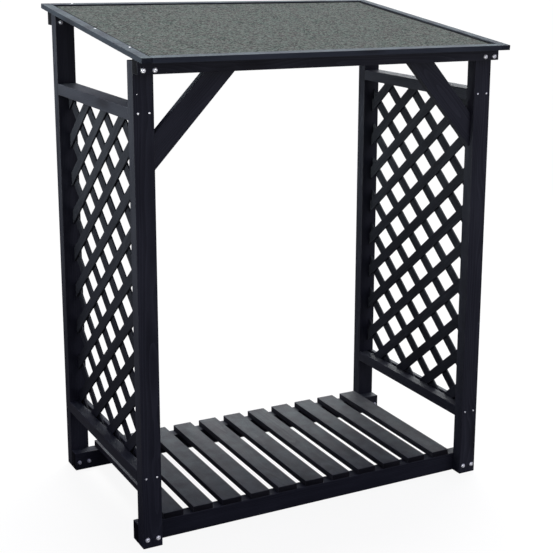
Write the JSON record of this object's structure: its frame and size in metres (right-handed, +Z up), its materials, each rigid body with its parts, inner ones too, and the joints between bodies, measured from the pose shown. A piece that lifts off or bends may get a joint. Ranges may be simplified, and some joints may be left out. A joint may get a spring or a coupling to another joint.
{
  "type": "log store",
  "caption": "Open timber log store with bolted posts, lattice sides, braced front corners, a slatted floor and a felted single-pitch roof.",
  "frame": {"origin": "on the ground, under the middle of the roof", "axes": "+X along the front to the right, +Y from front to back, +Z up; the open front with the braces faces -Y"},
  "size_m": [1.158, 0.8535, 1.4855],
  "materials": {
    "frame_timber": "near-black wood stain on planed softwood",
    "lattice_timber": "near-black wood stain on thin sawn slats",
    "floor_timber": "near-black wood stain on sawn boards",
    "roof_deck": "dark-stained boarding",
    "roof_trim": "near-black wood stain, greyed by light",
    "roof_felt": "bitumen felt with grey-green mineral granules"
  },
  "bodies": {
    "root": {"front_left_post": "frame_timber", "front_right_post": "frame_timber", "back_left_post": "frame_timber", "back_right_post": "frame_timber", "front_header": "frame_timber", "back_header": "frame_timber", "front_sill": "frame_timber", "back_sill": "frame_timber", "left_top_rail": "frame_timber", "left_bottom_rail": "frame_timber", "right_top_rail": "frame_timber", "right_bottom_rail": "frame_timber", "left_brace": "frame_timber", "right_brace": "frame_timber", "left_lattice": "lattice_timber", "right_lattice": "lattice_timber", "floor_slat_01": "floor_timber", "floor_slat_02": "floor_timber", "floor_slat_03": "floor_timber", "floor_slat_04": "floor_timber", "floor_slat_05": "floor_timber", "floor_slat_06": "floor_timber", "floor_slat_07": "floor_timber", "floor_slat_08": "floor_timber", "floor_slat_09": "floor_timber", "floor_slat_10": "floor_timber", "floor_slat_11": "floor_timber", "roof_deck": "roof_deck", "roof_felt": "roof_felt", "roof_left_trim": "roof_trim", "roof_right_trim": "roof_trim", "roof_front_trim": "roof_trim", "roof_back_trim": "roof_trim"}
  },
  "joints": []
}
